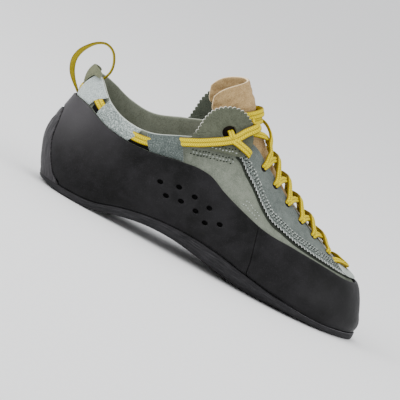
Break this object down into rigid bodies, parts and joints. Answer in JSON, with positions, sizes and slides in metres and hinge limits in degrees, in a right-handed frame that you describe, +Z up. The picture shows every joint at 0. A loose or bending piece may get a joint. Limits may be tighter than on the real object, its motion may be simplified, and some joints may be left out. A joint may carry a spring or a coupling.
{
  "type": "lace-up climbing shoe",
  "caption": "Low lace-up climbing shoe with rubber rand, suede upper, pinked ankle ears, curled tongue and lace tunnels round the collar, standing empty on its sole.",
  "frame": {"origin": "bottom centre of the bounding box, on the plane the sole stands on", "axes": "+X towards the toe, +Z up, -Y towards the outer (lateral) side of the right foot"},
  "size_m": [0.2517, 0.0915, 0.122],
  "materials": {
    "rubber": "matt moulded and ground rubber",
    "suede": "grey-green suede with a soft nap",
    "strip_suede": "pale blue-grey suede strips",
    "ear_leather": "olive-grey split leather with pale cut edges",
    "tongue_suede": "tan suede with a cream cut edge",
    "insole_board": "felted board",
    "lace_cord": "flat braided yellow lace",
    "loop_tape": "woven olive-yellow tape"
  },
  "bodies": {
    "root": {"outsole": "rubber", "rand_rear": "rubber", "rand_toe": "rubber", "upper": "suede", "facing": "suede", "ear_lateral": "ear_leather", "ear_medial": "ear_leather", "heel_tab": "ear_leather", "tongue": "tongue_suede", "insole": "insole_board", "pull_loop": "loop_tape", "collar_lace_1": "lace_cord", "collar_lace_2": "lace_cord", "lace_arm_lateral": "lace_cord", "lace_arm_medial": "lace_cord", "lace_bar_1": "lace_cord", "lace_bar_2": "lace_cord", "lace_bar_3": "lace_cord", "lace_bar_4": "lace_cord", "lace_bar_5": "lace_cord", "lace_bar_6": "lace_cord", "lace_bar_7": "lace_cord", "lace_bar_top": "lace_cord", "lace_crossing": "lace_cord", "tunnel_front_lateral": "strip_suede", "tunnel_front_medial": "strip_suede", "tunnel_heel_lateral": "strip_suede", "tunnel_heel_medial": "strip_suede", "tunnel_rear_lateral": "strip_suede", "tunnel_rear_medial": "strip_suede"}
  },
  "joints": []
}
